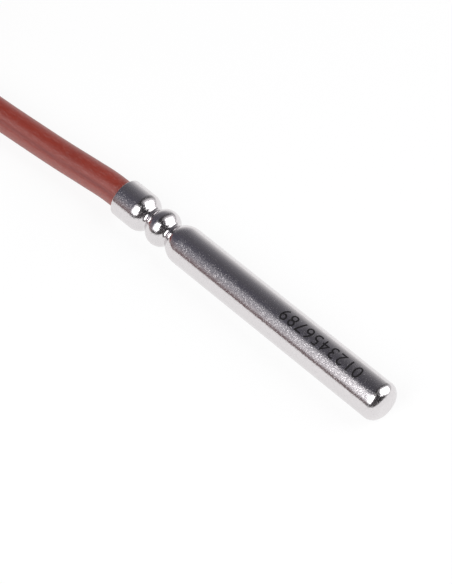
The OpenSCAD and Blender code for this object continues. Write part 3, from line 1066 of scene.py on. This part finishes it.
@dataclass
class CableTie:
    """A nylon tie round one side of the hank: a band, a lock head and the cut end of the band."""

    hank: Hank
    node: str
    width: float = 2.5 * MM
    thickness: float = 0.4 * MM
    head: tuple[float, float, float] = (4.0 * MM, 3.0 * MM, 3.4 * MM)
    slack: float = 0.1 * MM
    head_edge: float = 0.45 * MM
    stub: float = 1.1 * MM
    stub_edge: float = 0.12 * MM
    overlap: float = 0.3 * MM

    def __post_init__(self) -> None:
        """Finds the band's place and the side of the hank's middle that it lies on."""
        low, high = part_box(self.node)
        self.low, self.high = low, high
        self.side = 1 if (low.y + high.y) / 2 > self.hank.middle_y else -1
        self.x = (low.x + high.x) / 2
        outer = high.y if self.side > 0 else low.y
        columns = 2 * self.hank.cable_d + 2 * self.thickness + self.slack
        self.middle_y = outer - self.side * columns / 2
        self.half_y = columns / 2 - self.thickness / 2
        self.half_z = (high.z - low.z) / 2 - self.thickness / 2
        self.middle_z = (high.z + low.z) / 2

    def band(self) -> Array:
        """The band: a rounded rectangular section on a rounded rectangle round the cable.

        The path is four quarter circles of a cable's radius plus half the band, joined by straight
        sides. The section is |a / w|^6 + |b / t|^6 = 1.

        Returns:
            The grid of points, closed both ways.
        """
        corner = self.hank.cable_d / 2 + self.thickness / 2
        q = full_turn(160)
        way = np.stack([np.cos(q), np.sin(q)], axis=-1)
        away = np.sign(np.round(way, 9))
        flat = np.array([self.half_y - corner, self.half_z - corner])
        path = away * flat + corner * way
        s = full_turn(32)
        across = np.sign(np.cos(s)) * np.abs(np.cos(s)) ** (1 / 3) * self.width / 2
        through_wall = np.sign(np.sin(s)) * np.abs(np.sin(s)) ** (1 / 3) * self.thickness / 2
        yz = path[:, None] + through_wall[None, :, None] * way[:, None]
        x = np.broadcast_to(self.x + across, (len(q), len(s)))
        return np.stack([x, self.middle_y + yz[..., 0], self.middle_z + yz[..., 1]], axis=-1)

    def block(self, shape: bmesh.types.BMesh, low: Vector, high: Vector, edge: float) -> None:
        """Adds a box with rounded edges.

        Args:
            shape: the mesh that it goes into.
            low: lowest corner.
            high: highest corner.
            edge: how wide the rounding is.
        """
        made = bmesh.ops.create_cube(shape, size=1.0)["verts"]
        bmesh.ops.scale(shape, verts=made, vec=high - low)
        bmesh.ops.translate(shape, verts=made, vec=(low + high) / 2)
        edges = list({e for v in made for e in v.link_edges})
        bmesh.ops.bevel(shape, geom=edges, offset=edge, segments=3, profile=0.5, affect="EDGES")

    def build(self) -> bpy.types.Object:
        """The whole tie as one piece.

        Returns:
            The tie.
        """
        piece = grid_mesh(self.node.replace("hank_tie", "tie"), self.band(), ring_closed=False)
        shape = bmesh.new()
        shape.from_mesh(piece.data)
        inner = self.middle_y - self.side * self.half_y
        seat = inner + self.side * self.thickness / 2
        face = self.low.y if self.side > 0 else self.high.y
        foot = self.hank.low_z + self.hank.cable_d / 2
        low = Vector((self.x - self.head[0] / 2, min(seat, face), foot))
        high = Vector((self.x + self.head[0] / 2, max(seat, face), foot + self.head[2]))
        self.block(shape, low, high, self.head_edge)
        ends = (face, face - self.side * self.stub)
        middle = (low.z + high.z) / 2
        near = min(ends) - self.overlap * (self.side < 0)
        far = max(ends) + self.overlap * (self.side > 0)
        low = Vector((self.x - self.width / 2, near, middle - self.thickness))
        high = Vector((self.x + self.width / 2, far, middle + self.thickness))
        self.block(shape, low, high, self.stub_edge)
        bmesh.ops.recalc_face_normals(shape, faces=shape.faces)
        shape.to_mesh(piece.data)
        shape.free()
        piece.data.shade_smooth()
        return finish_piece(piece, Look.NYLON, "tie_nylon", self.node)


# What the metal sees of the room, by turn about the sleeve in degrees, towards each end of it. The
# ramps run from FIRST_TURN over TURN_SPAN degrees.
FIRST_TURN = -10
TURN_SPAN = 210
MOUTH_SIDE: dict[float, Colour] = {
    0: (0.165, 0.100, 0.100), 12: (0.240, 0.185, 0.192), 24: (0.250, 0.216, 0.236),
    40: (0.135, 0.131, 0.162), 52: (0.115, 0.113, 0.145), 62: (0.090, 0.088, 0.116),
    75: (0.095, 0.092, 0.116), 92: (0.098, 0.095, 0.115), 106: (0.106, 0.103, 0.118),
    122: (0.140, 0.137, 0.155), 140: (0.220, 0.216, 0.235), 152: (0.350, 0.345, 0.360),
    164: (0.540, 0.535, 0.545), 176: (0.740, 0.735, 0.740), 190: (0.930, 0.925, 0.930),
}
TIP_SIDE: dict[float, Colour] = {
    0: (0.090, 0.080, 0.082), 30: (0.070, 0.064, 0.068), 75: (0.030, 0.028, 0.031),
    98: (0.028, 0.026, 0.028), 125: (0.050, 0.048, 0.052), 155: (0.110, 0.107, 0.110),
    176: (0.380, 0.375, 0.380), 190: (0.900, 0.895, 0.900),
}


@dataclass
class Studio:
    """A pale floor, two soft boxes beside the camera, and a dim room over them."""

    sleeve: Sleeve
    azimuth: float = 45.74
    elevation: float = 51.78
    distance: float = 0.31225
    aim: tuple[float, float] = (-3.32 * MM, -1.72 * MM)
    lens: float = 137.1
    floor_half: float = 4.0
    floor_drop: float = 0.02 * MM
    glow: Colour = (1.10, 1.08, 1.11)

    def camera(self) -> None:
        """The camera: azimuth 0 looks along +Y, and it keeps its horizon level."""
        a, e = math.radians(self.azimuth), math.radians(self.elevation)
        back = Vector((math.sin(a) * math.cos(e), -math.cos(a) * math.cos(e), math.sin(e)))
        target = Vector((self.aim[0], self.aim[1], self.sleeve.mouth.z))
        data = bpy.data.cameras.new("camera")
        data.lens = self.lens
        data.clip_start = 0.01
        made = add_object("camera", data)
        made.location = target + back * self.distance
        made.rotation_mode = "QUATERNION"
        made.rotation_quaternion = (-back).to_track_quat("-Z", "Y")
        bpy.context.scene.camera = made

    def soft_box(
        self, name: str, turn: float, lean: float, size: tuple[float, float], far: float,
        level: float,
    ) -> None:
        """A rectangular lamp that faces the rolled end of the sleeve.

        Args:
            name: its name.
            turn: angle about the sleeve, in degrees: 0 is -Y, 90 is up.
            lean: angle towards the tip's side, in degrees.
            size: its angular width along the sleeve and across it, in degrees.
            far: its distance.
            level: its brightness, where 1 is white.
        """
        t, b = math.radians(turn), math.radians(lean)
        way = Vector((math.sin(b), -math.cos(b) * math.cos(t), math.cos(b) * math.sin(t)))
        data = bpy.data.lights.new(name, "AREA")
        data.shape = "RECTANGLE"
        data.size = 2 * far * math.tan(math.radians(size[0] / 2))
        data.size_y = 2 * far * math.tan(math.radians(size[1] / 2))
        data.energy = level * math.pi * data.size * data.size_y
        made = add_object(name, data)
        bead = Vector((self.sleeve.mouth.x + self.sleeve.bead_at, 0, self.sleeve.radius))
        made.location = bead + way * far
        across = (Vector((1, 0, 0)) - way * way.x).normalized()
        basis = (across, way.cross(across), way)
        made.rotation_mode = "QUATERNION"
        made.rotation_quaternion = Matrix(basis).transposed().to_quaternion()
        made.visible_camera = False

    def floor(self) -> None:
        """A wide flat floor just under the part."""
        corners = [(-1, -1), (1, -1), (1, 1), (-1, 1)]
        points = [(x * self.floor_half, y * self.floor_half, -self.floor_drop) for x, y in corners]
        mesh = bpy.data.meshes.new("floor")
        mesh.from_pydata(points, [], [(0, 1, 2, 3)])
        mesh.materials.append(PaleFloor().material())
        made = add_object("floor", mesh)

    def room(self) -> None:
        """The room by direction: dim overhead, a sweep that rises on +Y, a warm wall low on -Y.

        The turn is the angle about the sleeve, 0 on -Y and 90 straight up. The room is darker past
        the middle of the sleeve, and each soft box spills a glow on the wall towards the mouth.
        Seen straight it is plain white, like the floor.
        """
        world = bpy.data.worlds.new("studio")
        bpy.context.scene.world = world
        tree = Tree(world)
        x, y, z = tree.parts(tree.node("TexCoord").outputs["Generated"])
        turn = tree.math("ARCTAN2", z, -y) * math.degrees(1)
        share = (turn - FIRST_TURN) * (1 / TURN_SPAN)
        ends = [
            tree.node("ValToRGB", {"stops": self.stops(tones)}, {0: share}).outputs[0]
            for tones in (MOUTH_SIDE, TIP_SIDE)
        ]
        walls = tree.mix(tree.step(x, -0.48, -0.20), *ends)
        left = tree.step(turn, 10, 24) * (1 - tree.step(turn, 48, 76))
        left = left * tree.step(x, -0.48, -0.30) * (1 - tree.step(x, 0.20, 0.44))
        right = tree.step(turn, 88, 112) * (1 - tree.step(turn, 160, 185))
        right = right * tree.step(x, -0.22, 0.12) * (1 - tree.step(x, 0.60, 0.88))
        glow = tree.math("MAXIMUM", left, 0.7 * right)
        lit = tree.mix(glow, walls, self.glow)
        straight = Value(tree, tree.node("LightPath").outputs["Is Camera Ray"])
        white = tree.math("MAXIMUM", 1 - tree.step(z, -0.02, 0.0), straight)
        seen = tree.mix(white, lit, (1.0, 1.0, 1.0))
        background = tree.node("Background", None, {"Color": seen, "Strength": 1.0})
        tree.node("OutputWorld", None, {"Surface": background.outputs[0]})

    @staticmethod
    def stops(tones: dict[float, Colour]) -> list[tuple[float, Colour]]:
        """Ramp stops from tones by turn in degrees."""
        return [((turn - FIRST_TURN) / TURN_SPAN, colour) for turn, colour in tones.items()]

    def build(self) -> None:
        """Sets up the whole studio."""
        scene = bpy.context.scene
        scene.view_settings.view_transform = "Standard"
        self.camera()
        self.floor()
        self.room()
        self.soft_box("soft_box_left", turn=43, lean=5.2, size=(32, 39), far=0.34, level=5.2)
        self.soft_box("soft_box_right", turn=133, lean=35, size=(45, 52), far=0.38, level=3)


def dress_inner_nodes() -> None:
    """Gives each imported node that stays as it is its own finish."""
    for look, names in INNER_NODES.items():
        for name in names:
            look.cover(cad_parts[name])


def main() -> None:
    """Builds the part's pieces and the studio round it."""
    logging.basicConfig(level=logging.INFO, format="%(name)s: %(message)s")
    sleeve = Sleeve()
    studio = Studio(sleeve)
    studio.build()
    cable = Cable(sleeve)
    on_cable = StrippedEnd(cable.hank).build()
    on_cable += [CableTie(cable.hank, node).build() for node in ("hank_tie_left", "hank_tie_right")]
    cable.build(on_cable)
    cable.jacket_end()
    sleeve.build()
    Numerals(sleeve).build()
    dress_inner_nodes()
    bpy.context.view_layer.update()


if __name__ == "__main__":
    main()
